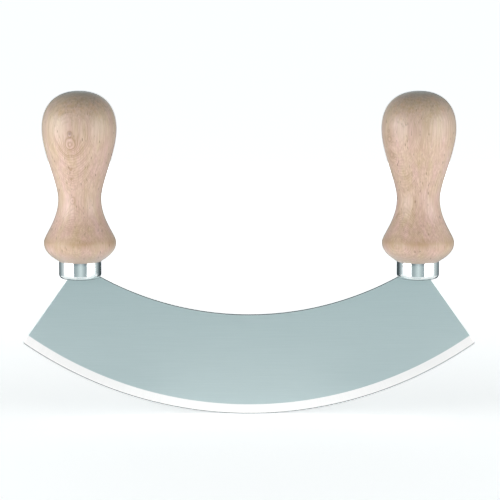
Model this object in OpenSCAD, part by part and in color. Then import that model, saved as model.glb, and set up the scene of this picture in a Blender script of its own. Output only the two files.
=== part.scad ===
// Mezzaluna: a crescent rocking knife with one blade and two upright turned handles
// X runs along the blade, Y across its thickness and Z up
// The origin is the lowest point of the cutting edge, midway along the blade and midway through its thickness

/* [Blade] */
// Length of the blade from tip to tip
blade_len = 230; // [215:1:250]
// Radius of the cutting edge, which the blade rocks on
edge_r = 200; // [180:1:260]
// Depth of the blade at its middle, from the cutting edge to the spine
middle_depth = 51.25; // [46:0.25:58]
// Height of the shoulders that the ferrules sit on, above the lowest point of the edge
shoulder_h = 70; // [66:0.5:76]
// Thickness of the ground blade
blade_t = 1.8; // [1.2:0.1:2.6]
// Depth ground off each face below the shoulders, so that the tangs stay thicker
grind_depth = 0.1; // [0.05:0.05:0.2]
// Width of the ground bevel along the cutting edge
bevel_w = 5; // [3:0.5:8]
// Width of the fine honed strip at the edge
hone_w = 0.4; // [0.2:0.1:1]
// Thickness of the steel where the honed strip starts
hone_t = 0.3; // [0.2:0.05:0.5]
// Thickness of the edge itself
edge_t = 0.1; // [0.05:0.05:0.15]
// Radius on the two tips
tip_r = 0.8; // [0.4:0.1:2]
// How far each shoulder runs past the handle's axis, towards the tip
shoulder_out = 6; // [5.2:0.1:7]
// How far the blade's inner corners rise beside the rounded foot of the ferrules
corner_rise = 0.7; // [0.3:0.1:1.2]

/* [Tangs] */
// Length of each tang above its shoulder
tang_len = 50; // [36:1:60]
// Width of each tang at its root
tang_w = 9; // [7:0.5:9.5]
// Width of each tang at its tip
tang_tip_w = 7; // [5:0.5:7]
// Height of the sloped corners at the tip of the tang
tang_chamfer = 1.5; // [0.5:0.5:2]
// Height of the first pair of notches above the shoulder
notch_start = 18; // [14:1:20]
// Spacing of the pairs of notches
notch_pitch = 10; // [8:1:12]
// Number of pairs of notches that key the tang into the resin
notch_pairs = 3; // [1:1:3]
// Width of each notch at the tang's side
notch_w = 3; // [1.5:0.5:4]
// Depth of each notch
notch_depth = 1.2; // [0.5:0.1:1.8]

/* [Ferrules] */
// Outer diameter of the drawn metal ferrules
ferrule_d = 21.5; // [20:0.5:25]
// Height of the ferrules, from the shoulder to the handle
ferrule_h = 8.8; // [7:0.1:13]
// Wall and floor of the ferrules
ferrule_wall = 0.8; // [0.5:0.1:1.2]
// Outer radius of the rounded foot of the ferrules
ferrule_corner = 2.2; // [1.5:0.1:3]
// Clearance round the tang in the slot through the ferrule's floor
slot_gap = 0.1; // [0.05:0.05:0.3]
// Clearance between the blade's inner corner and the rounded foot
corner_gap = 0.05; // [0.05:0.05:0.2]

/* [Handles] */
// Height of each handle above its ferrule
handle_h = 86.5; // [82:0.5:96]
// Diameter of the collar that stops the hand above the ferrule
collar_d = 36.7; // [32:0.1:42]
// Height of the widest part of the collar above the ferrule
collar_h = 9.7; // [8:0.1:12]
// Diameter of the waist
waist_d = 21.9; // [18:0.1:26]
// Height of the waist above the ferrule
waist_h = 31.9; // [27:0.1:38]
// Diameter of the bulb that fills the palm
bulb_d = 37.8; // [33:0.1:42]
// Height of the widest part of the bulb above the ferrule
bulb_h = 67.5; // [62:0.5:72]
// Slope of the collar's underside where it leaves the ferrule, from level
seat_slope = 31; // [20:1:45]
// Diameter of the hole drilled up the handle for the tang
bore_d = 10.5; // [10:0.5:13]
// Depth drilled past the tip of the tang
bore_spare = 4; // [2:0.5:8]
// Angle of the drill's point
drill_angle = 118; // [90:1:140]
// Clearance of the wooden tenon inside the ferrule
tenon_gap = 0.05; // [0.03:0.01:0.2]

/* [Hidden] */
$fn = 96;

steel_colour = "#b4c4c5";
ferrule_colour = "#d5dcdc";
wood_colour = "#d2b8a5";
resin_colour = "#d9c79a";

// Number of straight steps in each curved stretch of the handle's outline
curve_steps = 14;
// How full each curve is, as the share of its stretch that its end pulls straight
seat_fullness = 0.76;
collar_under_fullness = 0.38;
collar_over_fullness = 0.17;
waist_under_fullness = 0.49;
waist_over_fullness = 0.23;
bulb_under_fullness = 0.34;
bulb_over_fullness = 0.67;
crown_fullness = 0.59;

// The blade's ends are cut square to the edge, on lines through the centre of the edge's circle
// Each line stands outside its rounded tip, which is what reaches the blade's full length
end_angle = asin((blade_len / 2 - tip_r) / (edge_r - tip_r)) + asin(tip_r / (edge_r - tip_r));
function end_x(z) = (edge_r - z) * tan(end_angle);

// The handles' axes, on both sides of the middle
axis_x = end_x(shoulder_h) - shoulder_out;
ferrule_r = ferrule_d / 2;

// The spine is an arc through its middle and the two inner corners, which end on the ferrules' feet
corner_reach = ferrule_r - ferrule_corner + sqrt(pow(ferrule_corner, 2) - pow(ferrule_corner - corner_rise, 2));
corner_x = axis_x - corner_reach;
corner_z = shoulder_h + corner_rise;
spine_rise = corner_z - middle_depth;
spine_r = (pow(corner_x, 2) + pow(spine_rise, 2)) / (2 * spine_rise);

// The outline blank reaches below the edge, where the ground disc then cuts it to the edge's circle
blank_foot = -blade_t;

tang_t = blade_t + 2 * grind_depth;
floor_z = shoulder_h + ferrule_wall;
seat_z = shoulder_h + ferrule_h;
ferrule_inner_r = ferrule_r - ferrule_wall;
ferrule_inner_corner = ferrule_corner - ferrule_wall;
bore_r = bore_d / 2;
bore_len = tang_len - ferrule_wall + bore_spare;
drill_point_h = bore_r / tan(drill_angle / 2);

// A cubic curve through four points, without its first point
function bend(a, b, c, d) = [
    for (i = [1 : curve_steps])
        let (t = i / curve_steps, u = 1 - t)
            u * u * u * a + 3 * u * u * t * b + 3 * u * t * t * c + t * t * t * d
];

// The handle's outline stations, as radius and height above the ferrule
seat = [ferrule_r, 0];
collar = [collar_d / 2, collar_h];
waist = [waist_d / 2, waist_h];
bulb = [bulb_d / 2, bulb_h];
crown = [0, handle_h];

seat_pull = seat_fullness * (collar[0] - seat[0]) * [1, tan(seat_slope)];
collar_under_pull = [0, collar_under_fullness * collar_h];
collar_over_pull = [0, collar_over_fullness * (waist_h - collar_h)];
waist_under_pull = [0, waist_under_fullness * (waist_h - collar_h)];
waist_over_pull = [0, waist_over_fullness * (bulb_h - waist_h)];
bulb_under_pull = [0, bulb_under_fullness * (bulb_h - waist_h)];
bulb_over_pull = [0, bulb_over_fullness * (handle_h - bulb_h)];
crown_pull = [crown_fullness * bulb[0], 0];

handle_outline = concat(
    [[0, 0], seat],
    bend(seat, seat + seat_pull, collar - collar_under_pull, collar),
    bend(collar, collar + collar_over_pull, waist - waist_under_pull, waist),
    bend(waist, waist + waist_over_pull, bulb - bulb_under_pull, bulb),
    bend(bulb, bulb + bulb_over_pull, crown + crown_pull, crown)
);

// Half of the section of a round cup or plug with a rounded foot, standing on its floor
module foot_section(r, h, corner) {
    square([r - corner, h]);
    translate([0, corner])
        square([r, h - corner]);
    translate([r - corner, corner])
        circle(corner);
}

// What a rounded tip takes off the square corner, with the centre of the edge's circle as its origin
module tip_offcut() {
    tip_centre_z = -sqrt(pow(edge_r - tip_r, 2) - pow(tip_r, 2));
    rotate(end_angle)
        difference() {
            translate([-tip_r, tip_centre_z - 2 * tip_r])
                square(2 * tip_r);
            translate([-tip_r, tip_centre_z])
                circle(tip_r);
        }
}

// The blade's flat outline, apart from its cutting edge
module blade_outline() {
    difference() {
        polygon([
            [-end_x(blank_foot), blank_foot],
            [end_x(blank_foot), blank_foot],
            [end_x(corner_z), corner_z],
            [-end_x(corner_z), corner_z]
        ]);
        translate([0, middle_depth + spine_r])
            circle(spine_r);
        translate([0, edge_r]) {
            tip_offcut();
            mirror([1, 0])
                tip_offcut();
        }
    }
}

// Half of the section across a round plate that is ground thin towards its rim
module ground_section() {
    polygon([
        [0, -blade_t / 2],
        [edge_r - bevel_w, -blade_t / 2],
        [edge_r - hone_w, -hone_t / 2],
        [edge_r, -edge_t / 2],
        [edge_r, edge_t / 2],
        [edge_r - hone_w, hone_t / 2],
        [edge_r - bevel_w, blade_t / 2],
        [0, blade_t / 2]
    ]);
}

// Half of the tang's width at height h above the shoulder
function tang_half(h) = tang_w / 2 + (tang_tip_w - tang_w) / 2 * h / tang_len;

// The tang's flat outline, with its shoulder at the origin
module tang_outline() {
    difference() {
        polygon([
            [-tang_half(0), 0],
            [tang_half(0), 0],
            [tang_half(tang_len - tang_chamfer), tang_len - tang_chamfer],
            [tang_half(tang_len) - tang_chamfer, tang_len],
            [tang_chamfer - tang_half(tang_len), tang_len],
            [-tang_half(tang_len - tang_chamfer), tang_len - tang_chamfer]
        ]);
        for (i = [0 : notch_pairs - 1])
            notch_pair(notch_start + i * notch_pitch);
    }
}

// Two notches, one in each side of the tang, at height h above the shoulder
module notch_pair(h) {
    for (side = [-1, 1])
        polygon([
            [side * (tang_half(h) - notch_depth), h],
            [side * (tang_half(h) + notch_depth), h - notch_w],
            [side * (tang_half(h) + notch_depth), h + notch_w]
        ]);
}

// One tang, on the left for side -1 and on the right for side 1
module tang(side) {
    translate([side * axis_x, 0, shoulder_h])
        rotate([90, 0, 0])
            linear_extrude(height = tang_t, center = true)
                tang_outline();
}

// The room that one ferrule takes above its shoulder, with its corner clearance
module ferrule_room(side) {
    translate([side * axis_x, 0, shoulder_h])
        rotate_extrude()
            foot_section(ferrule_r + corner_gap, ferrule_h, ferrule_corner + corner_gap);
}

// The stamped, ground and tanged blade, in one piece of steel
module blade() {
    color(steel_colour) {
        difference() {
            rotate([90, 0, 0])
                intersection() {
                    linear_extrude(height = 2 * blade_t, center = true)
                        blade_outline();
                    translate([0, edge_r, 0])
                        rotate_extrude()
                            ground_section();
                }
            ferrule_room(-1);
            ferrule_room(1);
        }
        tang(-1);
        tang(1);
    }
}

// A drawn cup with a slot for the tang through its floor
module ferrule(side) {
    color(ferrule_colour)
        translate([side * axis_x, 0, shoulder_h])
            difference() {
                rotate_extrude()
                    difference() {
                        foot_section(ferrule_r, ferrule_h, ferrule_corner);
                        translate([0, ferrule_wall])
                            foot_section(ferrule_inner_r, ferrule_h, ferrule_inner_corner);
                    }
                cube([tang_w + 2 * slot_gap, tang_t + 2 * slot_gap, 4 * ferrule_wall], center = true);
            }
}

// The hole drilled for the tang, from the floor of the ferrule up, started lower by the given amount
module drilled_hole(lower) {
    rotate_extrude()
        polygon([
            [0, -lower],
            [bore_r, -lower],
            [bore_r, bore_len],
            [0, bore_len + drill_point_h]
        ]);
}

// A turned handle with its tenon, which fills the ferrule
module handle(side) {
    color(wood_colour)
        translate([side * axis_x, 0, 0])
            difference() {
                union() {
                    translate([0, 0, seat_z])
                        rotate_extrude()
                            polygon(handle_outline);
                    translate([0, 0, floor_z])
                        rotate_extrude()
                            foot_section(ferrule_inner_r - tenon_gap, ferrule_h, ferrule_inner_corner);
                }
                translate([0, 0, floor_z])
                    drilled_hole(ferrule_wall);
            }
}

// The hardened resin that fills the drilled hole round the tang
module resin(side) {
    color(resin_colour)
        difference() {
            translate([side * axis_x, 0, floor_z])
                drilled_hole(0);
            tang(side);
        }
}

blade();
ferrule(-1);  // ferrule_left
ferrule(1);  // ferrule_right
handle(-1);  // handle_left
handle(1);  // handle_right
resin(-1);  // resin_left
resin(1);  // resin_right
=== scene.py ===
"""A mezzaluna: a crescent steel blade with two turned beech handles in polished ferrules.

Everything is in metres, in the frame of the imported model: X runs along the blade, Y across its
thickness and Z up. The origin is the lowest point of the cutting edge, midway along the blade.
"""

import logging
import math
from collections.abc import Mapping
from dataclasses import dataclass
from enum import Enum, IntEnum
from typing import NamedTuple

import bpy
import numpy as np
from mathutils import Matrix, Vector


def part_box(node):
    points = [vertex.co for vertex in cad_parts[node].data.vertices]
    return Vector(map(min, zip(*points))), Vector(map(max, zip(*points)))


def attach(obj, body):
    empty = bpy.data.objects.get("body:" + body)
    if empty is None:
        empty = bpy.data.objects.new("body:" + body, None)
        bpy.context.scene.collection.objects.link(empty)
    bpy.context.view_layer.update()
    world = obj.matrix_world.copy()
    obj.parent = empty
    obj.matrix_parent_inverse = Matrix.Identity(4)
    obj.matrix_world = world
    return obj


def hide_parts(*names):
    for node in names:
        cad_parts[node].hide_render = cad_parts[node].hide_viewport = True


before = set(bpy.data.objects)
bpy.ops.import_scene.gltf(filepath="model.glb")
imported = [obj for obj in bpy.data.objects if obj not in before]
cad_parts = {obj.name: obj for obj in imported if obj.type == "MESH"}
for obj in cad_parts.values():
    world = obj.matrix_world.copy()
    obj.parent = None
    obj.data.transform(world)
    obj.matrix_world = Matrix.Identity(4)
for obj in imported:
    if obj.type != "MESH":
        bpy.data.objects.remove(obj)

LOG = logging.getLogger("mezzaluna")
MM = 0.001
BODY = "root"

Triple = tuple[float, float, float]
Pair = tuple[float, float]
Material = bpy.types.Material
Object = bpy.types.Object
Node = bpy.types.Node
Socket = bpy.types.NodeSocket

# A Mix node's sockets by number: its two numbers, its two colours and the mixed colour.
NUMBER_A, NUMBER_B, COLOUR_A, COLOUR_B, MIXED = 2, 3, 6, 7, 2


class Side(Enum):
    """The two halves of the knife, with the sign of their X."""

    LEFT = -1
    RIGHT = 1

    @property
    def word(self) -> str:
        """The side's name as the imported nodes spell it."""
        return self.name.lower()


class Zone(IntEnum):
    """The blade's differently finished surfaces, in the order of its material slots."""

    FACE = 0
    BEVEL = 1
    HONED = 2
    RIM = 3
    TANG = 4


def linear(hex_colour: str) -> tuple[float, float, float, float]:
    """Turns an sRGB colour into the linear one that the shaders read, by the sRGB curve.

    Args:
        hex_colour: The colour as "#rrggbb".

    Returns:
        Red, green, blue and a full alpha.
    """
    values = np.array([int(hex_colour[i : i + 2], 16) for i in (1, 3, 5)]) / 255
    light = np.where(values <= 0.04045, values / 12.92, ((values + 0.055) / 1.055) ** 2.4)
    return (*light.tolist(), 1.0)


# Meshes


@dataclass
class Shell:
    """One surface: its points, its faces as rows of point numbers, and the zone of each or of all.

    A triangle repeats its last point number, so that every row has four.
    """

    points: np.ndarray
    faces: np.ndarray
    zones: np.ndarray | int = 0

    def joined(self, other: "Shell") -> "Shell":
        """Puts another shell of the same zone beside this one."""
        points = np.vstack([self.points, other.points])
        return Shell(points, np.vstack([self.faces, other.faces + len(self.points)]), self.zones)

    def moved(self, x: float, y: float, z: float) -> "Shell":
        """The same shell, carried by x, y and z."""
        return Shell(self.points + np.array([x, y, z]), self.faces, self.zones)


def flat_sheet(corners: list[Triple]) -> Shell:
    """One four-cornered face."""
    return Shell(np.array(corners, float), np.array([[0, 1, 2, 3]]))


def ring_faces(rings: int, sides: int, closed: bool) -> np.ndarray:
    """Faces between rings of points, where point k of ring n is number n * sides + k.

    Args:
        rings: Number of rings.
        sides: Number of points in each ring.
        closed: Whether the last ring joins the first.

    Returns:
        One row of four point numbers for each face.
    """
    ring = np.arange(rings if closed else rings - 1)[:, None]
    side = np.arange(sides)[None, :]
    next_ring = (ring + 1) % rings
    next_side = (side + 1) % sides
    corners = (
        ring * sides + side,
        next_ring * sides + side,
        next_ring * sides + next_side,
        ring * sides + next_side,
    )
    return np.stack(corners, axis=-1).reshape(-1, 4)


def rays(sides: int) -> np.ndarray:
    """Unit vectors (cos a, sin a) at even angles round a full turn, as rows."""
    angle = np.linspace(0, 2 * math.pi, sides, endpoint=False)
    return np.stack([np.cos(angle), np.sin(angle)], axis=-1)


def spun(section: np.ndarray, sides: int) -> np.ndarray:
    """A ring of points (r cos a, r sin a, z) for each point (r, z) of a section."""
    heights = np.repeat(section[:, None, 1:], sides, axis=1)
    return np.concatenate([section[:, None, :1] * rays(sides), heights], axis=-1)


def turned(profile: np.ndarray, sides: int) -> Shell:
    """Turns a profile about Z, from one pole to the other.

    Each profile point becomes a ring, and the first and last points, which lie on the axis, become
    one point each. The outside is on the left of the profile's way.

    Args:
        profile: Radius and height of each point, with a radius of 0 at both ends.
        sides: Number of points in each ring.

    Returns:
        The closed shell.
    """
    rings = spun(profile[1:-1], sides)
    poles = [[0, 0, profile[0, 1]], [0, 0, profile[-1, 1]]]
    points = np.vstack([rings.reshape(-1, 3), poles])
    first_pole = len(points) - 2
    last_ring = first_pole - sides
    here = np.arange(sides)
    after = (here + 1) % sides
    start = np.stack([np.full(sides, first_pole), here, after, after], axis=-1)
    end = np.stack([here, np.full(sides, first_pole + 1 - last_ring), after, after], axis=-1)
    return Shell(points, np.vstack([ring_faces(len(rings), sides, False), start, end + last_ring]))


def bend(stations: np.ndarray, steps: int) -> np.ndarray:
    """Points on a cubic curve, without its first point.

    At share t the point is the four stations weighted by (1-t)^3, 3(1-t)^2 t, 3(1-t) t^2 and t^3.

    Args:
        stations: The curve's start, its two pulls and its end, as rows.
        steps: Number of points.

    Returns:
        The points as rows.
    """
    t = np.linspace(0, 1, steps + 1)[1:, None]
    weights = np.hstack([(1 - t) ** 3, 3 * (1 - t) ** 2 * t, 3 * (1 - t) * t**2, t**3])
    return weights @ stations


def arc(centre: Pair, radius: float, start: float, end: float, steps: int) -> np.ndarray:
    """Points on a circle's arc, both ends included: the centre plus radius times (cos a, sin a).

    Args:
        centre: The circle's centre.
        radius: Its radius.
        start: First angle, in degrees.
        end: Last angle, in degrees.
        steps: Number of steps between them.

    Returns:
        The points as rows.
    """
    angle = np.radians(np.linspace(start, end, steps + 1))
    return np.array(centre) + radius * np.stack([np.cos(angle), np.sin(angle)], axis=-1)


def new_object(name: str, data: bpy.types.ID) -> Object:
    """Makes an object at the origin and links it to the scene.

    Args:
        name: The object's name.
        data: Its mesh, lamp or camera.

    Returns:
        The object.
    """
    made = bpy.data.objects.new(name, data)
    bpy.context.scene.collection.objects.link(made)
    return made


def mesh_object(name: str, shell: Shell, materials: list[Material], sharp_degrees: float = 30) -> Object:
    """Makes a mesh object at the origin from a shell.

    Args:
        name: The object's name.
        shell: Its surface.
        materials: Its materials, in the order of the shell's zones.
        sharp_degrees: Faces that meet at more than this angle keep a crisp line.

    Returns:
        The object.
    """
    mesh = bpy.data.meshes.new(name)
    for material in materials:
        mesh.materials.append(material)
    faces = [row[:3] if row[2] == row[3] else row for row in shell.faces.tolist()]
    mesh.from_pydata(shell.points.tolist(), [], faces)
    zones = np.broadcast_to(shell.zones, len(faces))
    mesh.polygons.foreach_set("material_index", zones.astype(np.int32))
    mesh.validate()
    mesh.shade_smooth()
    mesh.set_sharp_from_angle(angle=math.radians(sharp_degrees))
    return new_object(name, mesh)


def stand_for(piece: Object, node: str) -> None:
    """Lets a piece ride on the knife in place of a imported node.

    Args:
        piece: The finished piece.
        node: The node that it stands for.
    """
    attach(piece, BODY)
    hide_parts(node)
    LOG.info("%s: %d faces", piece.name, len(piece.data.polygons))


# Finishes


class Nodes:
    """A node tree under construction."""

    def __init__(self, tree: bpy.types.NodeTree) -> None:
        """Starts from an empty tree."""
        self.tree = tree
        self.tree.nodes.clear()

    def add(self, kind: str, *values: object, sockets: Mapping | None = None, **settings: object) -> Node:
        """Adds a node with its settings and links.

        Args:
            kind: Blender's name for the kind of node, after "ShaderNode".
            values: What its first inputs get, in their order.
            sockets: What other inputs get, by the input's name or number.
            settings: The node's own properties.

        Returns:
            The new node.
        """
        node = self.tree.nodes.new(f"ShaderNode{kind}")
        for name, value in settings.items():
            setattr(node, name, value)
        self.set(node, {**dict(enumerate(values)), **(sockets or {})})
        return node

    def set(self, node: Node, sockets: Mapping) -> None:
        """Gives inputs their values or links.

        Args:
            node: The node.
            sockets: What its inputs get, where a node stands for its first output.
        """
        for name, value in sockets.items():
            if isinstance(value, Node):
                value = value.outputs[0]
            if isinstance(value, Socket):
                self.tree.links.new(value, node.inputs[name])
            else:
                node.inputs[name].default_value = value

    def mirrored(self) -> Node:
        """1 where metal or glass looks, else 0."""
        path = self.add("LightPath").outputs
        return self.add("Math", path["Is Glossy Ray"], path["Is Transmission Ray"], operation="MAXIMUM")

    def seen(self) -> Node:
        """1 where the camera, metal or glass looks, else 0."""
        path = self.add("LightPath").outputs
        return self.add("Math", path["Is Camera Ray"], self.mirrored(), operation="MAXIMUM")


class Shading(Nodes):
    """The node tree of one new material, with the object coordinates as its place."""

    def __init__(self, name: str) -> None:
        """Starts a material with a Principled shader and its output.

        Args:
            name: The material's name.
        """
        self.material = bpy.data.materials.new(name)
        self.material.use_nodes = True
        super().__init__(self.material.node_tree)
        self.shader = self.add("BsdfPrincipled")
        self.add("OutputMaterial", self.shader)
        self.place = self.add("TexCoord").outputs["Object"]

    def paint(self, sockets: Mapping) -> Material:
        """Gives the Principled shader its inputs and hands over the material."""
        self.set(self.shader, sockets)
        return self.material


@dataclass(frozen=True)
class GroundSteel:
    """Stainless steel sheet with lines that a grinding belt or wheel left in one direction.

    The lines are far finer than the render can show, so they are drawn about a pixel wide. They
    give the eye a soft sheen with faint streaks, and no mirror image. Roughness is given with the
    amount by which it varies, and the lines' size as width and length. They run along X or, where
    the finish is radial, to and from the centre of the cutting edge's circle.
    """

    name: str
    colour: str
    streak: str
    roughness: Pair
    line_size: Pair
    groove: float
    radial: bool = False
    line_detail: float = 3.0
    line_break: float = 0.65
    line_range: Pair = (0.3, 0.7)

    def along_lines(self, shading: Shading, centre: float) -> Node:
        """Finds the place along the lines, across them and in depth.

        For radial lines, along is the distance from the centre in the blade's plane, and across
        is the angle about it times its height.

        Args:
            shading: The finish's node tree.
            centre: The height of the radial lines' centre.

        Returns:
            The place, in metres.
        """
        x, y, z = shading.add("SeparateXYZ", shading.place).outputs
        if not self.radial:
            return shading.add("CombineXYZ", x, z, y)
        drop = shading.add("Math", centre, z, operation="SUBTRACT")
        angle = shading.add("Math", x, drop, operation="ARCTAN2")
        across = shading.add("Math", angle, centre, operation="MULTIPLY")
        flat = shading.add("CombineXYZ", x, drop)
        along = shading.add("VectorMath", flat, operation="LENGTH").outputs["Value"]
        return shading.add("CombineXYZ", along, across, y)

    def material(self, centre: float) -> Material:
        """Builds the finish.

        Args:
            centre: The height of the radial lines' centre.

        Returns:
            The material.
        """
        shading = Shading(self.name)
        width, length = self.line_size
        along = self.along_lines(shading, centre)
        cells = shading.add("VectorMath", along, (length, width, length), operation="DIVIDE")
        noise = {"Scale": 1.0, "Detail": self.line_detail, "Roughness": self.line_break}
        lines = shading.add("TexNoise", cells, sockets=noise)
        colours = {COLOUR_A: linear(self.streak), COLOUR_B: linear(self.colour)}
        tint = shading.add("Mix", lines, sockets=colours, data_type="RGBA").outputs[MIXED]
        mean, spread = self.roughness
        dullness = shading.add("MapRange", lines, *self.line_range, mean - spread, mean + spread)
        bump = shading.add("Bump", sockets={"Strength": 1.0, "Distance": self.groove, "Height": lines})
        return shading.paint({"Base Color": tint, "Metallic": 1.0, "Roughness": dullness, "Normal": bump})


@dataclass(frozen=True)
class PolishedNickel:
    """Drawn brass cups, nickel-plated and buffed.

    They mirror what stands round them in upright bands, a little softened by fine rubbing marks.
    Near the blade the crease is duller, and grey by painted shade, which stands for the shadow
    between ferrule and blade.
    """

    name: str = "buffed_nickel_plate"
    colour: str = "#e9eeee"
    crease: str = "#6d777b"
    crease_reach: Pair = (0.2 * MM, 0.8 * MM)
    roughness: Pair = (0.094, 0.11)
    crease_roughness: float = 0.4
    mark_size: Triple = (5 * MM, 5 * MM, 0.4 * MM)
    mark_detail: float = 4.0
    mark_range: Pair = (0.35, 0.75)

    def material(self, floor: float) -> Material:
        """Builds the finish.

        Args:
            floor: The height of the ferrules' floor.

        Returns:
            The material.
        """
        shading = Shading(self.name)
        cells = shading.add("VectorMath", shading.place, self.mark_size, operation="DIVIDE")
        marks = shading.add("TexNoise", cells, sockets={"Scale": 1.0, "Detail": self.mark_detail})
        buffed = shading.add("MapRange", marks, *self.mark_range, *self.roughness)
        height = shading.add("SeparateXYZ", shading.place).outputs["Z"]
        # Painted shade: the colour turns grey towards the crease where the ferrule meets the blade.
        crease = (floor + reach for reach in self.crease_reach)
        dull_and_shaded = shading.add("MapRange", height, *crease, 1.0, 0.0)
        colours = {COLOUR_A: linear(self.colour), COLOUR_B: linear(self.crease)}
        tint = shading.add("Mix", dull_and_shaded, sockets=colours, data_type="RGBA").outputs[MIXED]
        roughness = shading.add("Mix", dull_and_shaded, sockets={NUMBER_A: buffed, NUMBER_B: self.crease_roughness})
        return shading.paint({"Base Color": tint, "Metallic": 1.0, "Roughness": roughness})


class Stain(NamedTuple):
    """One colour of the wood, laid over the others where an amount goes from its start to its end."""

    amount: Node | Socket
    start: float
    end: float
    strength: float
    colour: str


@dataclass(frozen=True)
class Beech:
    """Steamed European beech, turned, sanded fine and left thinly oiled.

    It gives the eye a pale pinkish tan with fine upright fibres, quiet growth rings that show as
    nested ovals where they graze the bulb, short brown ray flecks along the grain and a soft
    sheen. The crown is darker, partly as cut-across end grain and partly by painted shade for its
    upturned top, and mottled. The foot is darker by end grain and by painted shade where it meets
    the ferrule, and a band of painted shade darkens the flank over the collar. Fibres and flecks
    are drawn two or three times as wide as real ones, to show at all.

    Lengths are in millimetres. The pith is given from the handle's axis, and the eyes and specks
    from the pith and the table: an eye, where the rings bulge and show as small ovals, as x, y, z,
    radius and lift, and a dark speck as x, y, z and radius. A pattern's size is its features'
    extent along X, Y and Z. Stains are given with the amounts at which they start and are full,
    and with their strength, ring lines with spacing and strength, and ring bends with reach and
    size.
    """

    name: str
    seed: float
    pith: Pair
    eyes: tuple[tuple[float, ...], ...]
    specks: tuple[tuple[float, ...], ...]
    growth_break: float = 0.6
    pink: str = "#e9c4bb"
    honey: str = "#ddc3a1"
    honey_stain: Triple = (0.35, 0.65, 1.0)
    band_size: Triple = (4, 4, 30)
    deep: str = "#c3a085"
    deep_stain: Triple = (0.62, 0.36, 0.55)
    pale: str = "#ecd5c2"
    pale_stain: Triple = (0.48, 0.72, 0.55)
    fibre_size: Triple = (0.6, 0.6, 9)
    fibre_relief: float = 0.04
    relief_strength: float = 0.5
    ring_line: str = "#b08a6a"
    ring_lines: tuple[Pair, Pair] = ((1.7, 0.28), (0.42, 0.35))
    line_slopes: tuple[Pair, Pair] = ((0.35, 0.85), (1.0, 0.87))
    line_patches: Triple = (9.0, 9.0, 14.0)
    line_fade: Pair = (0.38, 0.6)
    ring_bends: tuple[tuple[float, Triple], ...] = ((0.8, (26, 26, 39)), (0.16, (3, 3, 6)))
    eye_gain: float = 1.8
    eye_share: Pair = (0.7, 1.5)
    fleck: str = "#8f684c"
    fleck_stain: Triple = (0.4, 0.9, 0.9)
    fleck_size: Triple = (0.6, 6, 2.8)
    fleck_edge: Pair = (0.5, 0.2)
    fleck_scatter: float = 0.9
    end_grain: str = "#aba38b"
    end_grain_share: float = 0.6
    end_grain_depth: float = 27
    foot_grain_and_shade_share: float = 0.6
    foot_grain_and_shade_depth: float = 6
    flank_shade: str = "#bd9b70"
    flank_shade_share: float = 0.6
    flank_shade_height: float = 10.6
    flank_shade_reach: float = 3.4
    mottles: tuple[tuple[str, Triple], ...] = (("#cfa26a", (2.6, 2.6, 3.4)), ("#6f5b43", (1.1, 1.1, 1.8)))
    mottle_share: float = 0.45
    mottle_fade: float = 50
    mottle_range: Pair = (0.3, 0.7)
    speck: str = "#6b4c3a"
    speck_share: float = 0.5
    speck_core: float = 0.3
    ior: float = 1.5
    gloss_range: Pair = (0.2, 0.8)
    roughness: Pair = (0.31, 0.43)
    oil_weight: float = 0.2
    oil_roughness: float = 0.3
    sheen: str = "#7b929c"
    sheen_weight: float = 1.0
    sheen_roughness: float = 0.5

    def material(self, axis: float, foot: float, crown: float) -> Material:
        """Builds the wood: a ground colour with one stain after another over it.

        The place that its patterns read is in millimetres, as seen from the pith.

        Args:
            axis: The x of the handle's axis, in metres like the next two.
            foot: The height of the handle's seat.
            crown: The height of its top.

        Returns:
            The material.
        """
        shading = Shading(self.name)
        x, y = self.pith
        from_pith = ((1 / MM,) * 3, (-axis / MM - x, -y, 0))
        shading.place = shading.add("VectorMath", shading.place, *from_pith, operation="MULTIPLY_ADD")
        fibre = self.grain(shading, self.fibre_size, detail=4.0)
        colour = linear(self.pink)
        grown = self.grown(shading, fibre)
        for stain in (*grown, *self.cut(shading, foot / MM, crown / MM), *self.pinned(shading)):
            share = shading.add("MapRange", stain.amount, stain.start, stain.end, 0.0, stain.strength)
            colours = {COLOUR_A: colour, COLOUR_B: linear(stain.colour)}
            colour = shading.add("Mix", share, sockets=colours, data_type="RGBA").outputs[MIXED]
        relief = {"Strength": self.relief_strength, "Distance": self.fibre_relief * MM, "Height": fibre}
        return shading.paint(
            {
                "Base Color": colour,
                "Roughness": shading.add("MapRange", fibre, *self.gloss_range, *self.roughness),
                "IOR": self.ior,
                "Normal": shading.add("Bump", sockets=relief),
                "Coat Weight": self.oil_weight,
                "Coat Roughness": self.oil_roughness,
                "Sheen Weight": self.sheen_weight,
                "Sheen Roughness": self.sheen_roughness,
                "Sheen Tint": linear(self.sheen),
            }
        )

    def grown(self, shading: Shading, fibre: Node) -> list[Stain]:
        """Lays bands, fibres, ring lines and flecks, the stains that grew in the tree.

        Args:
            shading: The wood's node tree.
            fibre: The fibres' noise.

        Returns:
            The stains, the lowest first.
        """
        bands = self.grain(shading, self.band_size, detail=3.0)
        distance, near_eye = self.rings(shading)
        stains = [
            Stain(bands, *self.honey_stain, self.honey),
            Stain(fibre, *self.deep_stain, self.deep),
            Stain(fibre, *self.pale_stain, self.pale),
        ]
        for spacing, strength in self.ring_lines:
            line = self.lines(shading, distance, near_eye, spacing)
            stains.append(Stain(line, 0.0, self.eye_gain, self.eye_gain * strength, self.ring_line))
        return [*stains, Stain(self.flecks(shading), *self.fleck_stain, self.fleck)]

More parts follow.
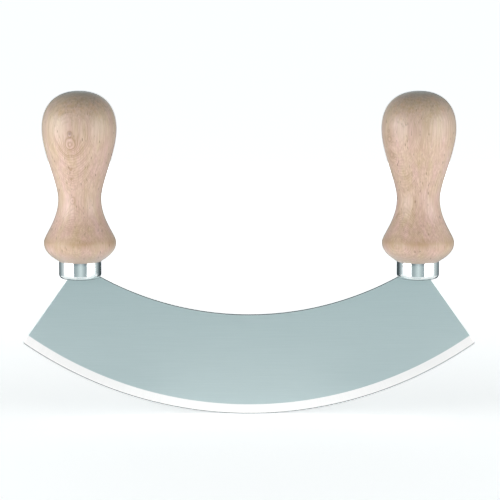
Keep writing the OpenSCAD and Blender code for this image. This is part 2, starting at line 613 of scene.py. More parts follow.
    def cut(self, shading: Shading, foot: float, crown: float) -> list[Stain]:
        """Lays the darker crown and foot, end grain with painted shade, the flank's painted shade and the
        mottles.

        Args:
            shading: The wood's node tree.
            foot: The height of the handle's seat, in millimetres.
            crown: The height of its top, in millimetres.

        Returns:
            The stains, the lowest first.
        """
        height = shading.add("SeparateXYZ", shading.place).outputs["Z"]
        # Painted shade: a darker band on the flank over the collar, strongest at this height.
        flank_shade = foot + self.flank_shade_height
        near_flank_shade = shading.add("Math", height, flank_shade, operation="PINGPONG")
        stains = [
            # Crown: end grain with painted shade for its upturned top.
            Stain(height, crown - self.end_grain_depth, crown, self.end_grain_share, self.end_grain),
            # Foot: end grain with painted shade, darker towards where the handle meets the ferrule.
            Stain(height, foot + self.foot_grain_and_shade_depth, foot, self.foot_grain_and_shade_share, self.deep),
            Stain(near_flank_shade, flank_shade - self.flank_shade_reach, flank_shade, self.flank_shade_share, self.flank_shade),
        ]
        start, end = (crown / self.mottle_fade + level for level in self.mottle_range)
        for tone, size in self.mottles:
            spots = self.grain(shading, size, detail=2.0)
            amount = shading.add("Math", height, 1 / self.mottle_fade, spots, operation="MULTIPLY_ADD")
            stains.append(Stain(amount, start, end, self.mottle_share, tone))
        return stains

    def pinned(self, shading: Shading) -> list[Stain]:
        """Lays the specks, each dark within a core of its radius.

        Args:
            shading: The wood's node tree.

        Returns:
            One stain for each speck.
        """
        stains = []
        for *point, radius in self.specks:
            away = shading.add("VectorMath", shading.place, point, operation="DISTANCE").outputs["Value"]
            stains.append(Stain(away, radius, self.speck_core * radius, self.speck_share, self.speck))
        return stains

    def grain(self, shading: Shading, size: Triple, detail: float) -> Node:
        """Makes uneven growth.

        Args:
            shading: The wood's node tree.
            size: The features' extent along X, Y and Z.
            detail: How many finer layers it has.

        Returns:
            The noise.
        """
        cells = shading.add("VectorMath", shading.place, size, operation="DIVIDE")
        noise = {"W": self.seed, "Scale": 1.0, "Detail": detail, "Roughness": self.growth_break}
        return shading.add("TexNoise", cells, sockets=noise, noise_dimensions="4D")

    def rings(self, shading: Shading) -> tuple[Node, Node]:
        """Lays the growth rings' course.

        The distance from the pith line is bent by slow noise and wavers by fast noise. An eye
        raises it by its lift, smoothly over its radius.

        Args:
            shading: The wood's node tree.

        Returns:
            The distance, and how much its lines stand out near an eye: the eye gain inside it,
            falling to 0 outside.
        """
        x, y, _ = shading.add("SeparateXYZ", shading.place).outputs
        flat = shading.add("CombineXYZ", x, y)
        distance = shading.add("VectorMath", flat, operation="LENGTH").outputs["Value"]
        for reach, size in self.ring_bends:
            noise = self.grain(shading, size, detail=2.0)
            distance = shading.add("Math", noise, 2 * reach, distance, operation="MULTIPLY_ADD")
        near_eye: Node | float = 0.0
        for *point, radius, lift in self.eyes:
            away = shading.add("VectorMath", shading.place, point, operation="DISTANCE").outputs["Value"]
            swell = shading.add("MapRange", away, 0.0, radius, lift, 0.0, interpolation_type="SMOOTHSTEP")
            distance = shading.add("Math", distance, swell, operation="ADD")
            inner, outer = (share * radius for share in self.eye_share)
            share = shading.add("MapRange", away, inner, outer, self.eye_gain, 0.0)
            near_eye = shading.add("Math", near_eye, share, operation="MAXIMUM")
        return distance, near_eye

    def lines(self, shading: Shading, distance: Node, near_eye: Node, spacing: float) -> Node:
        """Draws the line that ends each layer of growth.

        It darkens over the second half of its layer and ends sharply. Slow noise lets it fade in
        places, but not round an eye.

        Args:
            shading: The wood's node tree.
            distance: The growth rings' course.
            near_eye: How much the lines stand out near an eye.
            spacing: The layers' thickness.

        Returns:
            The line's darkness, from 0 to 1.
        """
        layers = shading.add("Math", distance, spacing, operation="DIVIDE")
        season = shading.add("Math", layers, operation="FRACT")
        size = tuple(spacing * count for count in self.line_patches)
        patches = self.grain(shading, size, detail=1.0)
        fade = shading.add("MapRange", patches, *self.line_fade)
        line = shading.add("Math", fade, near_eye, operation="MAXIMUM")
        for slope in self.line_slopes:
            share = shading.add("MapRange", season, *slope)
            line = shading.add("Math", line, share, operation="MULTIPLY")
        return line

    def flecks(self, shading: Shading) -> Node:
        """Draws ray flecks: thin along the rings, deep towards the pith, a few millimetres tall.

        Each cell of a stretched cell pattern holds one fleck, dark near its middle, as strong as
        the cell's random value.

        Args:
            shading: The wood's node tree.

        Returns:
            The flecks' darkness, from 0 to 1.
        """
        cells = shading.add("VectorMath", shading.place, self.fleck_size, operation="DIVIDE")
        pattern = {"W": self.seed, "Scale": 1.0, "Randomness": self.fleck_scatter}
        fleck = shading.add("TexVoronoi", cells, sockets=pattern, voronoi_dimensions="4D")
        middle = shading.add("MapRange", fleck, *self.fleck_edge)
        chance = shading.add("SeparateColor", fleck.outputs["Color"])
        return shading.add("Math", middle, chance, operation="MULTIPLY")


@dataclass(frozen=True)
class CuredResin:
    """Hardened casting resin, poured round the tang: amber, glossy and a little cloudy."""

    name: str = "cured_amber_resin"
    clear: str = "#d9c79a"
    cloudy: str = "#c4ac77"
    cloud_size: float = 3 * MM
    cloud_detail: float = 3.0
    roughness: float = 0.22
    ior: float = 1.55

    def material(self) -> Material:
        """Builds the resin.

        Returns:
            The material.
        """
        shading = Shading(self.name)
        noise = {"Scale": 1 / self.cloud_size, "Detail": self.cloud_detail}
        cloud = shading.add("TexNoise", shading.place, sockets=noise)
        colours = {COLOUR_A: linear(self.clear), COLOUR_B: linear(self.cloudy)}
        tint = shading.add("Mix", cloud, sockets=colours, data_type="RGBA").outputs[MIXED]
        return shading.paint({"Base Color": tint, "Roughness": self.roughness, "IOR": self.ior})


# The knife


@dataclass
class Ferrule:
    """A drawn metal cup with a slot for the tang through its floor."""

    side: Side
    axis: float
    shoulder: float
    radius: float = 10.75 * MM
    height: float = 8.8 * MM
    wall: float = 0.8 * MM
    foot_radius: float = 2.2 * MM
    lip_radius: float = 0.18 * MM
    slot_half: Pair = (4.6 * MM, 1.1 * MM)
    foot_steps: int = 16
    lip_steps: int = 4
    inner_steps: int = 10
    sides: int = 192

    def section(self) -> np.ndarray:
        """Draws the section: the floor's underside out, the outside, the lip and the inside.

        Returns:
            Radius and height of each point, as rows.
        """
        foot, lip = self.foot_radius, self.lip_radius
        inner, inner_foot = self.radius - self.wall, foot - self.wall
        corners = (
            ((self.radius - foot, foot), foot, -90, 0, self.foot_steps),
            ((self.radius - lip, self.height - lip), lip, 0, 90, self.lip_steps),
            ((inner + lip, self.height - lip), lip, 90, 180, self.lip_steps),
            ((inner - inner_foot, foot), inner_foot, 0, -90, self.inner_steps),
        )
        return np.vstack([arc(*corner) for corner in corners])

    def shell(self) -> Shell:
        """Makes the cup as rings, from the slot's lower rim round the section to its upper rim.

        The slot's two rings are the rectangle that a ray from the middle meets: the ray scaled so
        that it just reaches a side.

        Returns:
            The cup on its axis, with its floor at 0.
        """
        ray = rays(self.sides)
        reach = np.abs(ray) / np.array(self.slot_half)
        slot = ray / reach.max(axis=1)[:, None]
        low = np.hstack([slot, np.zeros((self.sides, 1))])
        high = np.hstack([slot, np.full((self.sides, 1), self.wall)])
        points = np.concatenate([low[None], spun(self.section(), self.sides), high[None]])
        faces = ring_faces(len(points), self.sides, True)[:, ::-1]
        return Shell(points.reshape(-1, 3), faces)

    def build(self, metal: Material) -> None:
        """Makes the ferrule in its place.

        Args:
            metal: Its finish.
        """
        name = f"ferrule_{self.side.word}"
        shell = self.shell().moved(self.axis, 0, self.shoulder)
        stand_for(mesh_object(f"{name}_cup", shell, [metal]), name)


@dataclass
class Handle:
    """A turned handle: collar, waist and palm bulb above, and a drilled tenon below.

    Collar, waist and bulb are given as radius and height above the seat, and fullness says how
    far the outline is pulled straight before and after each.
    """

    side: Side
    axis: float
    seat: float
    top: float
    seat_radius: float = 10.75 * MM
    seat_slope: float = 31.0
    seat_fullness: float = 0.76
    collar: Pair = (18.35 * MM, 9.7 * MM)
    collar_fullness: Pair = (0.38, 0.17)
    waist: Pair = (10.95 * MM, 31.9 * MM)
    waist_fullness: Pair = (0.49, 0.23)
    bulb: Pair = (18.9 * MM, 67.5 * MM)
    bulb_fullness: Pair = (0.34, 0.67)
    crown_fullness: float = 0.59
    tenon_radius: float = 9.9 * MM
    tenon_length: float = 8 * MM
    tenon_round: float = 1.4 * MM
    bore_radius: float = 5.25 * MM
    bore_length: float = 53.2 * MM
    drill_angle: float = 118.0
    round_steps: int = 8
    steps: int = 36
    sides: int = 160
    sharp_degrees: float = 40.0

    def outline(self) -> np.ndarray:
        """Draws the turned outline from the seat up to the crown.

        Each stretch is a cubic curve between two stations. It leaves the collar, waist and bulb
        upright and meets the crown level, pulled straight by a share of the stretch's height.

        Returns:
            Radius and height above the seat of each point, as rows.
        """
        out, up = np.eye(2)
        seat = self.seat_radius * out
        collar, waist, bulb = (np.array(at) for at in (self.collar, self.waist, self.bulb))
        crown = (self.top - self.seat) * up
        slope = out + math.tan(math.radians(self.seat_slope)) * up
        flare = self.seat_fullness * (collar - seat)[0] * slope
        fullness = (*self.collar_fullness, *self.waist_fullness, *self.bulb_fullness)
        rises = np.repeat(np.diff([0.0, collar[1], waist[1], bulb[1], crown[1]]), 2)[1:-1]
        pulls = np.outer(np.multiply(fullness, rises), up)
        shoulder = crown + self.crown_fullness * bulb[0] * out
        stretches = [
            (seat, seat + flare, collar - pulls[0], collar),
            (collar, collar + pulls[1], waist - pulls[2], waist),
            (waist, waist + pulls[3], bulb - pulls[4], bulb),
            (bulb, bulb + pulls[5], shoulder, crown),
        ]
        return np.vstack([seat, *(bend(np.array(stretch), self.steps) for stretch in stretches)])

    def section(self) -> np.ndarray:
        """Draws the section, from the crown down the outside and up the bore to the drill's point.

        Returns:
            Radius and height above the seat of each point, as rows.
        """
        foot = -self.tenon_length
        point = self.bore_radius / math.tan(math.radians(self.drill_angle / 2))
        corner = (self.tenon_radius - self.tenon_round, foot + self.tenon_round)
        inside = [
            [self.bore_radius, foot],
            [self.bore_radius, foot + self.bore_length],
            [0.0, foot + self.bore_length + point],
        ]
        tenon = arc(corner, self.tenon_round, 0, -90, self.round_steps)
        return np.vstack([self.outline()[::-1], [[self.tenon_radius, 0.0]], tenon, inside])

    def build(self, wood: Material) -> None:
        """Makes the handle in its place.

        Args:
            wood: Its material.
        """
        name = f"handle_{self.side.word}"
        shell = turned(self.section(), self.sides).moved(self.axis, 0, self.seat)
        stand_for(mesh_object(f"{name}_turned", shell, [wood], self.sharp_degrees), name)


@dataclass
class Blade:
    """The crescent blade, ground on both faces and bevelled to its edge, with its two tangs.

    Its finishes are in the order of the zones, and all of the same stainless steel.
    """

    half_length: float
    axis: float
    shoulder: float
    edge_radius: float = 200 * MM
    middle_depth: float = 51.25 * MM
    thickness: float = 1.8 * MM
    bevel: float = 5 * MM
    hone: float = 0.4 * MM
    hone_thickness: float = 0.3 * MM
    edge_thickness: float = 0.1 * MM
    tip_radius: float = 0.8 * MM
    easing: float = 0.15 * MM
    corner_rise: float = 0.7 * MM
    foot_radius: float = 2.2 * MM
    ferrule_radius: float = 10.75 * MM
    foot_gap: float = 0.05 * MM
    tang_length: float = 50 * MM
    tang_width: float = 9 * MM
    tang_tip_width: float = 7 * MM
    tang_thickness: float = 2 * MM
    tang_chamfer: float = 1.5 * MM
    notch_heights: Triple = (18 * MM, 28 * MM, 38 * MM)
    notch_width: float = 3 * MM
    notch_depth: float = 1.2 * MM
    tang_start: float = 0.01 * MM
    neck_sink: float = 1 * MM
    neck_inset: float = 0.1 * MM
    least_half: float = 0.025 * MM
    columns: int = 360
    turn_steps: int = 9
    corner_steps: int = 21
    rim_steps: int = 4
    sharp_degrees: float = 5.0
    finishes: tuple[GroundSteel, ...] = (
        # The faces, belt-ground along the blade: an even sheen with faint level streaks.
        GroundSteel(
            "satin_ground_stainless_steel", "#c9d6d7", "#bccbcc",
            roughness=(0.34, 0.03), line_size=(0.5 * MM, 30 * MM), groove=0.004 * MM,
        ),
        # The bevels, ground across the edge on a wheel: matt, and nearly white by a colour brighter than
        # steel, partly painted highlight.
        GroundSteel(
            "wheel_ground_stainless_steel", "#fbf8f7", "#f2efee",
            roughness=(0.45, 0.04), line_size=(0.6 * MM, 12 * MM), groove=0.004 * MM, radial=True,
        ),
        # The edge, honed on a fine stone: a thin line, dark by painted shade.
        GroundSteel(
            "honed_steel_with_painted_shade", "#8a8d8e", "#7a7d7e",
            roughness=(0.3, 0.04), line_size=(0.4 * MM, 3 * MM), groove=0.002 * MM, radial=True,
        ),
        # The rim, left as the press cut it: dull, and dark by painted shade, a thin line round the blade.
        GroundSteel(
            "stamped_edge_steel_with_painted_shade", "#666e71", "#565e61",
            roughness=(0.45, 0.08), line_size=(0.3 * MM, 1.5 * MM), groove=0.01 * MM,
        ),
        # The tangs, as rolled and hidden in the handles: plain dull grey.
        GroundSteel(
            "mill_finish_stainless_steel", "#9aa3a4", "#878f90",
            roughness=(0.5, 0.08), line_size=(0.8 * MM, 4 * MM), groove=0.01 * MM,
        ),
    )

    @property
    def end_angle(self) -> float:
        """The angle from upright of the blade's ends, which lie on rays from the edge's centre.

        Returns:
            The angle in radians.
        """
        reach = self.edge_radius - self.tip_radius
        along = math.asin((self.half_length - self.tip_radius) / reach)
        return along + math.asin(self.tip_radius / reach)

    def angles(self) -> np.ndarray:
        """Spreads the columns, close together at the tips and the inner corners.

        Returns:
            Their angles from upright, in rising order.
        """
        end = self.end_angle
        even = np.linspace(-end, end, self.columns)
        turn = 1 - np.cos(np.linspace(0, math.pi / 2, self.turn_steps))
        tip = self.tip_radius * turn / self.edge_radius
        ease = self.easing * turn[::2] / self.edge_radius
        near = end - np.unique(np.concatenate([tip, ease]))
        corner = math.atan2(self.axis - self.ferrule_radius, self.edge_radius - self.shoulder)
        spread = self.foot_radius / self.edge_radius
        fine = corner + np.linspace(-spread, spread, self.corner_steps)
        inside = even[np.abs(even) < end - self.tip_radius / self.edge_radius]
        return np.unique(np.concatenate([inside, near, -near, fine, -fine]))

    def top_distance(self, angle: np.ndarray) -> np.ndarray:
        """Finds how far the blade's upper outline is from the centre of the edge's circle.

        The outline is the spine's arc, and beyond it the ferrule's foot: a level floor at the
        shoulder, and beside it the rounded corner. A ray at the angle meets the floor at the
        centre's height over the shoulder divided by the cosine, and a circle where the distance
        squared, less twice its share along the ray, equals the radius squared less the offset's.

        Args:
            angle: The columns' angles from upright.

        Returns:
            The distance at each angle.
        """
        side = np.abs(angle)
        ray = np.stack([np.sin(side), np.cos(side)])
        foot = self.foot_radius + self.foot_gap
        reach = self.ferrule_radius - self.foot_radius
        rise = math.sqrt(self.foot_radius**2 - (self.foot_radius - self.corner_rise) ** 2)
        corner_x = self.axis - reach - rise
        spine_rise = self.shoulder + self.corner_rise - self.middle_depth
        spine_radius = (corner_x**2 + spine_rise**2) / (2 * spine_rise)
        offset = self.middle_depth + spine_radius - self.edge_radius
        spine = -offset * ray[1] + np.sqrt(spine_radius**2 - (offset * ray[0]) ** 2)
        drop = self.edge_radius - self.shoulder
        floor = drop / ray[1]
        centre = np.array([self.axis - reach, drop - foot])
        along = centre @ ray
        room = along**2 - centre @ centre + foot**2
        corner = along + np.sqrt(np.maximum(room, 0))
        corner = np.where((room > 0) & (corner * ray[0] < centre[0]), corner, 0)
        level = np.where(floor * ray[0] >= centre[0], floor, corner)
        return np.maximum(spine, level)

    def edge_distance(self, angle: np.ndarray) -> np.ndarray:
        """Finds how far the cutting edge is from its centre: its radius, but less at the tips.

        Args:
            angle: The columns' angles from upright.

        Returns:
            The distance at each angle.
        """
        short = np.maximum(self.tip_radius - self.edge_radius * (self.end_angle - np.abs(angle)), 0)
        depth = np.sqrt(np.maximum(self.tip_radius**2 - short**2, 0))
        return self.edge_radius - self.tip_radius + depth

    def half_thickness(self, distance: np.ndarray) -> np.ndarray:
        """Finds half the steel's thickness: level, then thinner down bevel and hone.

        Args:
            distance: Distances from the centre of the edge's circle.

        Returns:
            Half the thickness at each distance.
        """
        stations = self.edge_radius - np.array([self.bevel, self.hone, 0.0])
        halves = np.array([self.thickness, self.hone_thickness, self.edge_thickness]) / 2
        return np.interp(distance, stations, halves)

    def body(self) -> Shell:
        """Makes the blade without its tangs, as a loop of points round its section at each angle.

        A point at angle a and distance d from the centre of the edge's circle lies at d sin a
        along the blade and at the centre's height less d cos a. The loop runs over the rim with a
        quarter turn on each side, down one face to the edge and up the other. Towards both ends
        the loop draws in by a quarter turn, which eases the ends' corners.

        Returns:
            The blade, in place.
        """
        angle = self.angles()
        edge = self.edge_distance(angle)
        drawn = self.easing * (1 - np.sin(np.linspace(0, math.pi / 2, self.rim_steps)))
        rim = self.top_distance(angle)[:, None] + drawn[::-1]
        shares = np.array([0.25, 0.5, 0.75])
        upper_line = np.full(len(angle), self.edge_radius - self.bevel)
        lower_line = edge - self.hone
        face = rim[:, -1:] + shares * (upper_line[:, None] - rim[:, -1:])
        bevel = upper_line[:, None] + shares * (lower_line - upper_line)[:, None]
        distance = np.hstack([rim, face, upper_line[:, None], bevel, lower_line[:, None], edge[:, None]])
        half = self.half_thickness(distance)
        half[:, : self.rim_steps] -= drawn
        ending = np.maximum(self.easing - self.edge_radius * (self.end_angle - np.abs(angle)), 0)
        drawn_in = self.easing - np.sqrt(np.maximum(self.easing**2 - ending**2, 0))
        half = np.maximum(half - drawn_in[:, None], self.least_half)
        distance = np.hstack([distance, distance[:, ::-1]])
        along = distance * np.sin(angle)[:, None]
        across = np.hstack([-half, half[:, ::-1]])
        height = self.edge_radius - distance * np.cos(angle)[:, None]
        points = np.stack([along, across, height], axis=-1)
        columns, loop = distance.shape
        strips = (Zone.RIM, Zone.FACE, Zone.BEVEL, Zone.HONED)
        rows = np.repeat(strips, [self.rim_steps - 1, len(shares) + 1, len(shares) + 1, 1])
        zones = np.array([*rows, Zone.HONED, *rows[::-1], Zone.RIM])
        step = np.arange(loop // 2 - 1)
        cap = np.stack([step, step + 1, loop - 2 - step, loop - 1 - step], axis=-1)
        far_cap = cap[:, ::-1] + (columns - 1) * loop
        return Shell(
            points.reshape(-1, 3),
            np.vstack([ring_faces(columns, loop, False), cap, far_cap]),
            np.concatenate([np.tile(zones, columns - 1), np.full(2 * len(cap), Zone.RIM)]),
        )

    def tang(self, side: Side) -> Shell:
        """Makes one tang, as a rectangle at each height.

        The half width shrinks evenly from root to tip and dips in a straight V at each notch. The
        lowest stretch is a thinner neck, which sinks into the blade's body.

        Args:
            side: The handle that it goes up.

        Returns:
            The tang, in place.
        """
        dips = self.notch_width / 2 * np.array([-1, 0, 1])
        notches = np.add.outer(self.notch_heights, dips).ravel()
        tip = self.tang_length - self.tang_chamfer
        heights = np.array([0.0, *notches, tip, self.tang_length])
        narrowing = self.tang_tip_width - self.tang_width
        half = (self.tang_width + narrowing * heights / self.tang_length) / 2
        half[2:-2:3] -= self.notch_depth / 2
        half[-1] -= self.tang_chamfer
        heights[0] = self.tang_start
        heights = np.array([-self.neck_sink, heights[0], *heights])
        half = np.array([half[0] - self.easing, half[0] - self.easing, *half])
        thick = np.full(len(heights), self.tang_thickness / 2)
        thick[:2] = self.thickness / 2 - self.neck_inset
        corner = np.array([[-1, -1], [1, -1], [1, 1], [-1, 1]])
        flat = np.stack([half, thick], axis=-1)[:, None] * corner
        upright = np.repeat(heights[:, None, None], len(corner), axis=1)
        rings = np.concatenate([flat, upright], axis=-1)
        last_ring = len(corner) * (len(heights) - 1)
        caps = np.array([[3, 2, 1, 0], [0, 1, 2, 3]]) + np.array([[0], [last_ring]])
        faces = np.vstack([ring_faces(len(heights), len(corner), False)[:, ::-1], caps])
        return Shell(rings.reshape(-1, 3), faces, Zone.TANG).moved(side.value * self.axis, 0, self.shoulder)

    def build(self) -> None:
        """Makes the blade in its place and unites it with its tangs."""
        steel = [finish.material(self.edge_radius) for finish in self.finishes]
        piece = mesh_object("blade_ground", self.body(), steel, self.sharp_degrees)
        both = self.tang(Side.LEFT).joined(self.tang(Side.RIGHT))
        tangs = mesh_object("tangs", both, steel, self.sharp_degrees)
        unite = piece.modifiers.new("tangs", "BOOLEAN")
        unite.operation = "UNION"
        unite.solver = "EXACT"
        unite.object = tangs
        united = piece.evaluated_get(bpy.context.evaluated_depsgraph_get())
        mesh = bpy.data.meshes.new_from_object(united)
        piece.modifiers.clear()
        piece.data = mesh
        bpy.data.objects.remove(tangs)
        stand_for(piece, "blade")


@dataclass
class Mezzaluna:
    """The whole knife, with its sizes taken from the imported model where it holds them."""

    woods: tuple[Beech, Beech] = (
        Beech(
            name="oiled_beech_left",
            seed=1.7,
            pith=(12.4, 63.8),
            eyes=(
                (-16.0, -81.6, 138.6, 6.5, 1.35),
                (-16.1, -82.3, 144.9, 1.8, 0.45),
                (-16.0, -78.0, 126.2, 2.2, 0.5),
                (-15.9, -76.4, 121.2, 1.8, 0.4),
                (-15.6, -74.3, 110.8, 2.0, 0.5),
            ),
            specks=((-16.0, -82.3, 145.3, 1.4),),
        ),
        Beech(
            name="oiled_beech_right",
            seed=8.3,
            pith=(41.0, 50.5),
            eyes=(
                (-56.7, -60.4, 141.6, 3.6, 1.1),
                (-55.3, -59.0, 132.9, 3.8, 1.1),
                (-57.1, -60.4, 145.9, 1.8, 0.4),
                (-51.6, -56.9, 102.3, 2.0, 0.45),
            ),
            specks=(
                (-43.4, -56.0, 164.6, 0.6),
                (-48.5, -67.7, 149.5, 0.45),
                (-50.4, -66.6, 149.9, 0.4),
                (-41.0, -68.5, 86.0, 0.5),
                (-54.3, -62.4, 85.5, 0.45),
                (-50.3, -58.6, 118.5, 0.4),
            ),
        ),
    )
    nickel: PolishedNickel = PolishedNickel()
    resin: CuredResin = CuredResin()

    def build(self) -> None:
        """Builds and dresses the blade, the ferrules, the handles and the resin."""
        ferrule_low, ferrule_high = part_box("ferrule_right")
        shoulder, seat = ferrule_low.z, ferrule_high.z
        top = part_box("handle_right")[1].z
        axis = (ferrule_low.x + ferrule_high.x) / 2
        Blade(half_length=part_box("blade")[1].x, axis=axis, shoulder=shoulder).build()
        metal = self.nickel.material(shoulder)
        resin = self.resin.material()
        for side, wood in zip(Side, self.woods, strict=True):
            x = side.value * axis
            Ferrule(side=side, axis=x, shoulder=shoulder).build(metal)
            Handle(side=side, axis=x, seat=seat, top=top).build(wood.material(x, seat, top))
            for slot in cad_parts[f"resin_{side.word}"].material_slots:
                slot.material = resin
            LOG.info("resin_%s: packed node, newly dressed", side.word)


# The studio


class Lamp(NamedTuple):
    """A large soft lamp that faces the knife and that the camera doesn't see.

    Its bearing is in degrees round from the camera's side, towards the right, its height that of
    its middle, its size its width and height, and its power in watts.
    """

    name: str
    bearing: float
    distance: float
    height: float
    size: Pair
    power: float


class Panel(NamedTuple):
    """A flat panel that only mirrors see: the two corners at each of its two ends, and its colours.

    The colours go evenly from end to end and blend into each other.
    """

    name: str
    start: tuple[Triple, Triple]
    end: tuple[Triple, Triple]
    colours: tuple[str, ...]


@dataclass
class Studio:
    """A white table top with two soft boxes, cards behind the camera and dark flags.

    The table's front edge lies just outside the photograph, as does all else that stands about.
    The panels are there for polished metal alone: they give it its darker bands, and neither
    light nor shade the knife. The side panels stand on the right, and mirrored on the left.
    """

    camera_lens: float = 200.0
    camera_distance: float = 1.41
    camera_elevation: float = 7.5
    aim: Triple = (0.0005, 0.0, 0.0844)
    wall_strength: float = 0.42
    ceiling_share: float = 0.1
    mirrored_ceiling: float = 0.5
    ceiling_start: float = 0.5
    table_front: float = -0.21
    table_reach: float = 20.0
    table_colour: str = "#f4f7f7"
    table_roughness: float = 0.9
    glow_colour: str = "#fafeff"
    table_glow: float = 0.36
    table_lift: Pair = (0.65, 0.95)
    lift_reach: Pair = (0.17, 0.75)
    lift_centre: Triple = (0.0, -0.16, 0.0)
    boxes: tuple[Lamp, Lamp] = (
        Lamp("soft_box_left", -63.0, 0.906, 0.12, (0.845, 0.8), 8.2),
        Lamp("soft_box_right", 63.0, 0.906, 0.12, (0.845, 0.8), 6.8),
    )
    back_light: Lamp = Lamp("back_light", 180.0, 1.3, 0.15, (1.2, 0.6), 5.0)
    side_panels: tuple[Panel, ...] = (
        # Behind the knife and to one side, pale at its front.
        Panel(
            name="flag",
            start=((0.43, 0.02, -0.05), (0.43, 0.02, 0.3)),
            end=((0.12, 0.42, -0.05), (0.12, 0.42, 0.3)),
            colours=("#eef2f2", "#b4bfc2", "#707b7f", "#363f43", "#30373a"),
        ),
        # Dark and lying behind the ferrule, whose rounded foot would else mirror the white table.
        Panel(
            name="foot_flag",
            start=((0.06, 0.06, 0.001), (0.19, 0.08, 0.001)),
            end=((0.0, 0.5, 0.001), (0.45, 0.45, 0.001)),
            colours=("#4a5357", "#30373a"),
        ),
        # Grey and lying in front of it.
        Panel(
            name="foot_card",
            start=((0.055, -0.05, 0.001), (0.102, -0.05, 0.001)),
            end=((0.035, -0.082, 0.001), (0.113, -0.082, 0.001)),
            colours=("#c3d0d3", "#c3d0d3"),
        ),
    )
    middle_panels: tuple[Panel, ...] = (
        # Behind the camera: a grey card, paler down its middle.
        Panel(
            name="lower_card",
            start=((-1.15, -1.7, -0.9), (-1.15, -1.7, 0.12)),
            end=((1.33, -1.7, -0.9), (1.33, -1.7, 0.12)),
            colours=(
                "#a6b3b7", "#a8b4b7", "#b2bfc2", "#cddadb", "#e0eced", "#cddadb", "#b2bfc2", "#a8b4b7",
                "#a6b3b7",
            ),
        ),
        # A darker one above it.
        Panel(
            name="upper_card",
            start=((-1.15, -1.7, 0.12), (-1.15, -1.7, 0.9)),
            end=((1.33, -1.7, 0.12), (1.33, -1.7, 0.9)),
            colours=("#6b767a", "#8d999d", "#d2dcde", "#8d999d", "#6b767a"),
        ),
        # Low behind the knife.
        Panel(
            name="back_flag",
            start=((-0.12, 0.43, -0.02), (-0.12, 0.43, 0.12)),
            end=((0.12, 0.43, -0.02), (0.12, 0.43, 0.12)),
            colours=("#6f7a7e", "#7f8b8f", "#6f7a7e"),
        ),
    )

    def build(self) -> None:
        """Makes the world, the table, the lamps, the panels and the camera."""
        self.world()
        self.table()
        for side, box in zip(Side, self.boxes, strict=True):
            self.lamp(box)
            for name, *ends, colours in self.side_panels:
                mirrored = [[(side.value * x, y, z) for x, y, z in end] for end in ends]
                self.panel(Panel(f"{name}_{side.word}", *mirrored, colours))
        self.lamp(self.back_light).visible_glossy = False
        for panel in self.middle_panels:
            self.panel(panel)
        self.camera()

    def world(self) -> None:
        """A white surround under a dim ceiling, which shows as plain white to the camera.

        Metal sees white walls too. The light falls off from the horizon upwards, evenly with the
        sine of the height, and stays at the ceiling's share from the ceiling's start on.
        """
        world = bpy.data.worlds.new("studio_world")
        bpy.context.scene.world = world
        world.use_nodes = True
        nodes = Nodes(world.node_tree)
        mirrored = nodes.mirrored()
        walls = nodes.add("MapRange", mirrored, 0.0, 1.0, self.wall_strength, 1.0)
        ceiling = nodes.add("MapRange", mirrored, 0.0, 1.0, self.ceiling_share, self.mirrored_ceiling)
        direction = nodes.add("TexCoord").outputs["Generated"]
        height = nodes.add("SeparateXYZ", direction).outputs["Z"]
        fall = nodes.add("MapRange", height, 0.0, self.ceiling_start, 1.0, ceiling)
        lit = nodes.add("Math", walls, fall, operation="MULTIPLY")
        camera = nodes.add("LightPath").outputs["Is Camera Ray"]
        strength = nodes.add("Math", lit, camera, operation="MAXIMUM")
        background = nodes.add("Background", linear("#ffffff"), strength)
        nodes.add("OutputWorld", background)

    def table(self) -> None:
        """A pale matt table top, lifted to white where the camera or a mirror sees it unshaded.

        The lift grows with the distance from a point just in front of the knife, where the lamps
        shine brightest.
        """
        front, reach = self.table_front, self.table_reach
        corners = [(-reach, front, 0), (reach, front, 0), (reach, reach, 0), (-reach, reach, 0)]
        shading = Shading("matt_white_board")
        away = shading.add("VectorMath", shading.place, self.lift_centre, operation="DISTANCE")
        fade = (away.outputs["Value"], *self.lift_reach, *self.table_lift)
        lift = shading.add("MapRange", *fade, interpolation_type="SMOOTHSTEP")
        board = shading.paint(
            {
                "Base Color": linear(self.table_colour),
                "Roughness": self.table_roughness,
                "Specular IOR Level": 0.0,
                "Emission Color": linear(self.glow_colour),
                "Emission Strength": shading.add("MapRange", shading.seen(), 0.0, 1.0, self.table_glow, lift),
            }
        )
        mesh_object("table", flat_sheet(corners), [board])

    def lamp(self, lamp: Lamp) -> Object:
        """Makes a lamp.

        Args:
            lamp: What it is like.

        Returns:
            The lamp in its place.
        """
        light = bpy.data.lights.new(lamp.name, "AREA")
        light.shape = "RECTANGLE"
        light.size, light.size_y = lamp.size
        light.energy = lamp.power
        turn = math.radians(lamp.bearing)
        out = Vector((math.sin(turn), -math.cos(turn), 0))
        made = self.facing(light, Vector((0, 0, lamp.height)), lamp.distance * out)
        made.visible_camera = False
        return made

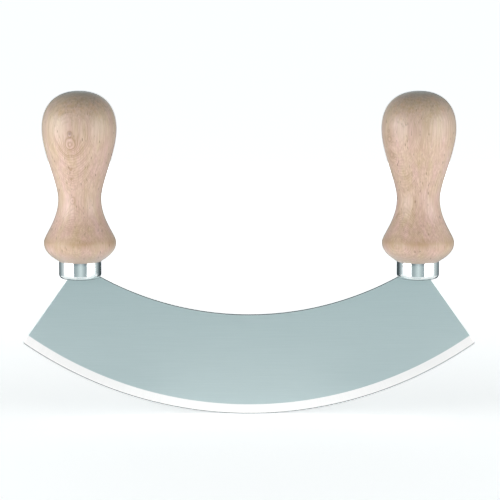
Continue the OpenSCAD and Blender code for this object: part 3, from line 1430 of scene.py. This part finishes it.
    def panel(self, panel: Panel) -> None:
        """Makes a panel that glows as bright as its colours say: painted light, which only mirrors see.

        The share of the way along it is the place less the first end's middle, times the way from
        there to the other end's, over its length squared.

        Args:
            panel: What it is like.
        """
        shading = Shading(f"matt_{panel.name}")
        middle, far_middle = np.mean([panel.start, panel.end], axis=1)
        along = far_middle - middle
        from_start = shading.add("VectorMath", shading.place, tuple(middle), operation="SUBTRACT")
        way = tuple(along / (along @ along))
        share = shading.add("VectorMath", from_start, way, operation="DOT_PRODUCT").outputs["Value"]
        ramp = shading.add("ValToRGB", share)
        stops = ramp.color_ramp.elements
        for position in np.linspace(0, 1, len(panel.colours))[1:-1]:
            stops.new(position)
        for stop, colour in zip(stops, panel.colours, strict=True):
            stop.color = linear(colour)
        glow = {"Emission Color": ramp, "Emission Strength": 1.0}
        glowing_sheet = shading.paint({"Base Color": linear("#000000"), "Specular IOR Level": 0.0, **glow})
        corners = [panel.start[0], *panel.end, panel.start[1]]
        made = mesh_object(panel.name, flat_sheet(corners), [glowing_sheet])
        made.visible_camera = made.visible_diffuse = made.visible_shadow = False

    def camera(self) -> None:
        """The camera in front of the knife, a little above it, with a long lens."""
        data = bpy.data.cameras.new("camera")
        data.lens = self.camera_lens
        rise = math.radians(self.camera_elevation)
        back = Vector((0.0, -math.cos(rise), math.sin(rise)))
        bpy.context.scene.camera = self.facing(data, Vector(self.aim), self.camera_distance * back)

    def facing(self, data: bpy.types.ID, aim: Vector, way: Vector) -> Object:
        """Makes a lamp or a camera that looks at a point.

        Args:
            data: Its lamp or camera.
            aim: The point.
            way: The way from the point to its place.

        Returns:
            The lamp or camera.
        """
        made = new_object(data.name, data)
        made.location = aim + way
        made.rotation_euler = (-way).to_track_quat("-Z", "Y").to_euler()
        return made


def main() -> None:
    """Builds the studio and the knife."""
    logging.basicConfig(level=logging.INFO, format="%(name)s: %(message)s")
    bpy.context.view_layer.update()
    bpy.context.scene.view_settings.view_transform = "Standard"
    Studio().build()
    Mezzaluna().build()


if __name__ == "__main__":
    main()
